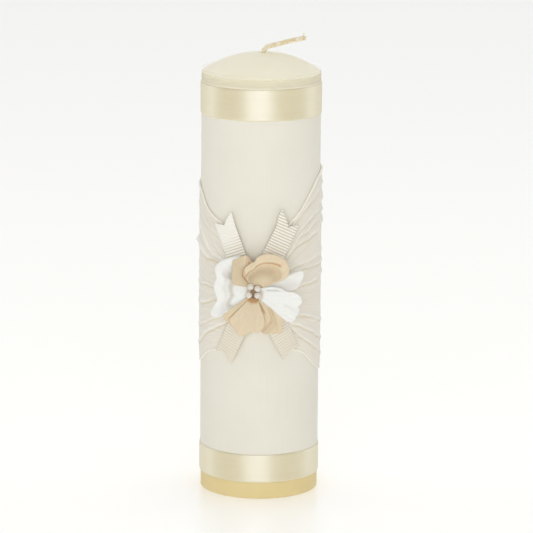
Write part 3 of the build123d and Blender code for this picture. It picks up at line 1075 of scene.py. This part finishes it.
def petalMaterial(name, pale, glow, creaseShade, hollowShade):
    made, start, place = newMaterial(name)
    flat = start.flat()
    grain = flat.stretched(2.2, 0.12).mottle(1.0, 4.0)
    fibre = place.mottle(1.1, 5.0)
    fold = start.fold()
    cloth = (grain * 0.6 + fibre * 0.4).within(0.3, 0.7).blend(pale, glow)
    # painted shade: the mesh's shade darkens the cloth towards the warm crease tone and greys it towards the
    # hollow tone
    colour = fold.within(0.5, 1.0).blend(fold.within(0.0, 0.5).blend(hollowShade, cloth), creaseShade)
    normal = start.bump(grain * 0.45 + fibre * 0.25, 0.35)
    return finishMaterial(
        made, start, colour, 0.62, normal, Sheen_Weight=0.2, Subsurface_Weight=0.1, Subsurface_Scale=0.001
    )


def distanceTo(point, route):
    # the shortest distance from a point to a line through a route's points
    best = 9.0
    for a, b in zip(route, route[1:]):
        run, gone = Vector(b) - Vector(a), point - Vector(a)
        share = min(max(gone.dot(run) / run.length_squared, 0.0), 1.0)
        best = min(best, (gone - share * run).length)
    return best


def makePetal(name, material):
    bm = bmesh.new()
    for fan in petalFans:
        if fan["petal"] != name:
            continue
        first, last = (Vector(end) for end in fan["root"])

        def place(u, v):
            rim = Vector(softLine(fan["rim"], u))
            root = first.lerp(last, u)
            point = root.lerp(rim, v)
            ease = smooth(min(u, 1 - u) / fan["ease"]) if "ease" in fan else 1.0  # flatter at its sides
            point.z += along(fan["profile"], v) * ease * (rim - root).length / 25
            shade = fan.get("shade", 0.0)
            for route, rise, mark, width in fan["marks"]:
                strength = exp(-((distanceTo(Vector((u, v)), route) / width) ** 2))
                point.z += rise * strength * smooth(v / 0.3)
                shade += mark * strength
            point.z += petal["ruffle"] * noise.noise(Vector((point.x / 2.6, point.y / 2.6, len(name)))) * v
            spot = Vector((flowerX + point.x, -(flowerFront + petal["gap"] + point.z), flowerZ + point.y))
            return spot * mm, 0.5 + 0.5 * min(max(shade, -1.0), 1.0)

        addCloth(bm, petal["columns"], petal["rows"], 24.0, 24.0, place)
    cut = petalCuts[name]
    piece = finishPiece(bm, name + "_cloth", material, cut["slot"], [name], petal["thickness"])


felt = {"radius": 7.0, "thickness": 0.8, "steps": 64, "nap": 0.04}


def makeFelt(material):
    # the disc behind the petals, with a soft cut edge
    edge, reach = felt["thickness"] / 2, felt["radius"] - felt["thickness"] / 2
    outline = [(r * reach / 5, -edge) for r in range(6)]
    outline += [(reach + edge * sin(k * pi / 6), -edge * cos(k * pi / 6)) for k in range(1, 6)]
    outline += [(r * reach / 5, edge) for r in range(5, -1, -1)]
    bm = lathe(outline, felt["steps"])
    turn = Matrix.Rotation(pi / 2, 4, "X")
    bmesh.ops.transform(bm, matrix=Matrix.Translation((flowerLow + flowerHigh) / 2) @ turn, verts=bm.verts)
    for vert in bm.verts:
        vert.co.y += felt["nap"] * mm * noise.noise(vert.co * 900)
    piece = finishPiece(bm, "felt_disc", material, "felt", ["flower_backing"])


# the felt is a deep brownish beige: partly its own tan colour, partly painted shade for the gaps between the
# pearls
makeFelt(plainFinish("felt", tone(206, 182, 146), tone(168, 136, 98), 1.2, 0.85, 0.9, Sheen_Weight=0.4))
petalTones = {  # pale, glow, painted crease shade and painted hollow shade
    "beige": [(223, 204, 171), (231, 216, 188), (184, 138, 84), (190, 169, 133)],
    "white": [(238, 238, 234), (246, 246, 243), (186, 158, 124), (202, 198, 187)],
}
petalFinishes = {
    "petal_" + dye: petalMaterial(dye + " petal", *(tone(*shade) for shade in tones))
    for dye, tones in petalTones.items()
}
for name, cut in petalCuts.items():
    makePetal(name, petalFinishes[cut["slot"]])
print("petals ready")

bead = {"steps": 40, "collar": 0.45}


def pearlMaterial():
    made, start, place = newMaterial("stamen pearl")
    cloud = place.mottle(0.9, 4.0)
    fine = place.mottle(5.0)
    colour = cloud.within(0.3, 0.7).blend(tone(216, 210, 199), tone(238, 232, 222))
    normal = start.bump(fine, 0.15)
    return finishMaterial(
        made,
        start,
        colour,
        0.28 + fine * 0.15,
        normal,
        Sheen_Weight=0.2,
        Subsurface_Weight=0.15,
        Subsurface_Scale=0.001,
    )


def stemMaterial():
    made, start, place = newMaterial("stamen stem")
    fibre = place.mottle(2.5)
    colour = fibre.blend(tone(206, 182, 146), tone(232, 214, 184))
    return finishMaterial(made, start, colour, 0.7, start.bump(fibre, 0.3))


def makeStamens():
    pearly, thread = pearlMaterial(), stemMaterial()
    for k in range(1, 5):
        low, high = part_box(f"stamen_pearl_{k}")
        centre, size = (low + high) / 2, (high.z - low.z) / 2 / mm
        stemLow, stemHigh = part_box(f"stamen_stem_{k}")
        root = Vector(((stemLow.x + stemHigh.x) / 2, stemHigh.y, (stemLow.z + stemHigh.z) / 2))
        outward = (centre - Vector((flowerX * mm, root.y, flowerZ * mm + 1.2 * mm))).normalized()
        outline = []
        for n in range(19):
            turn = pi * n / 18
            reach = size * (1 + 0.03 * cos(3 * turn))
            outline.append((reach * sin(turn), -reach * cos(turn) * 0.97))
        outline[0] = (bead["collar"], -size - 0.35)
        outline[1] = (bead["collar"] + 0.1, -size + 0.05)
        bm = lathe(outline, bead["steps"], merge=2e-6)
        turn = outward.to_track_quat("Z", "Y").to_matrix().to_4x4()
        bmesh.ops.transform(bm, matrix=Matrix.Translation(centre) @ turn, verts=bm.verts)
        finishPiece(bm, f"pearl_{k}", pearly, "stamen_pearl", [f"stamen_pearl_{k}"])
        behind = centre - outward * (size - 0.2) * mm
        line = []
        for n in range(13):
            f = n / 12
            bow = Vector((0, -0.4 * mm * sin(pi * f), 0))
            line.append((root.lerp(behind, f) + bow, 1.0 + 0.12 * sin(14 * f)))
        tubes(f"stem_{k}", [line], 0.3, thread, "stamen_stem", [f"stamen_stem_{k}"])


makeStamens()
print("stamens ready")


# Carried-over parts


def finishCadNodes():
    steel = plainFinish("tinned steel", tone(214, 214, 210), tone(176, 175, 170), 0.8, 0.3, 0.1, Metallic=1.0)
    tape = plainFinish("clear tape", tone(240, 238, 228), tone(228, 224, 210), 0.2, 0.2, 0.05)
    glue = plainFinish("craft glue", tone(238, 230, 208), tone(222, 208, 176), 0.5, 0.25, 0.3)
    thread = plainFinish("binding thread", tone(240, 232, 214), tone(214, 198, 168), 2.2, 0.7, 0.6)
    finishes = {
        "wick_core": cotton,
        "wick_sustainer": steel,
        "sleeve_seam_tape": tape,
        "top_ribbon_glue": glue,
        "bottom_ribbon_glue": glue,
        "flower_glue_dot": glue,
        "gather_thread": thread,
    }
    for node, finish in finishes.items():
        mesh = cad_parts[node].data
        mesh.materials.clear()
        mesh.materials.append(finish)


finishCadNodes()
print("carried-over parts finished")


# Floor and light

studio = {
    "floorRadius": 14.0,
    "floorTone": (250, 250, 248),
    "floorGlow": 0.2,
    "floorRoughness": 0.26,
    "skyFront": 0.39,
    "skyBack": 0.94,
    # name: place, size, watts, colour
    "lamps": [
        ("front", (-0.12, -1.9, 0.37), (1.7, 0.76), 12.9, (1.0, 0.99, 0.97)),
        ("above", (0.1, -0.2, 1.9), (1.2, 1.2), 6.5, (1.0, 0.99, 0.97)),
        ("left", (-1.7, 0.5, 0.7), (0.7, 1.4), 2.5, (1.0, 0.99, 0.97)),
        ("right", (1.7, 0.5, 0.7), (0.7, 1.4), 2.5, (1.0, 0.99, 0.97)),
    ],
}


def makeFloor():
    bm = bmesh.new()
    bmesh.ops.create_circle(bm, cap_ends=True, segments=96, radius=studio["floorRadius"])
    mesh = bpy.data.meshes.new("floor")
    bm.to_mesh(mesh)
    bm.free()
    floor = bpy.data.objects.new("floor", mesh)
    bpy.context.scene.collection.objects.link(floor)
    made, start, place = newMaterial("floor")
    cloud = place.mottle(0.004)
    bright = tone(*studio["floorTone"])
    colour = (cloud * 0.3).blend(bright, tone(247, 247, 245))
    mesh.materials.append(
        finishMaterial(
            made,
            start,
            colour,
            studio["floorRoughness"],
            Emission_Color=bright,
            Emission_Strength=studio["floorGlow"],
        )
    )


def makeSky():
    world = bpy.data.worlds.new("studio")
    world.use_nodes = True
    world.node_tree.nodes.clear()
    sky = wire(world.node_tree)
    depth = sky.node("ShaderNodeTexCoord", out="Generated").split()[1]
    strength = studio["skyFront"] + (studio["skyBack"] - studio["skyFront"]) * depth.within(-0.1, 0.7)
    light = sky.node("ShaderNodeBackground", None, {"Color": (1.0, 0.998, 0.99, 1.0), "Strength": strength})
    light.show("ShaderNodeOutputWorld")
    bpy.context.scene.world = world


def makeLamps():
    target = Vector((0, 0, 0.13))
    for name, place, (wide, tall), watts, colour in studio["lamps"]:
        data = bpy.data.lights.new(name, "AREA")
        data.shape, data.size, data.size_y = "RECTANGLE", wide, tall
        data.energy, data.color = watts, colour
        lamp = bpy.data.objects.new(name, data)
        lamp.visible_camera = False
        bpy.context.scene.collection.objects.link(lamp)
        lamp.location = place
        lamp.rotation_euler = (target - Vector(place)).to_track_quat("-Z", "Y").to_euler()


makeFloor()
makeSky()
makeLamps()
bpy.context.scene.view_settings.view_transform = "Standard"
print("studio ready")
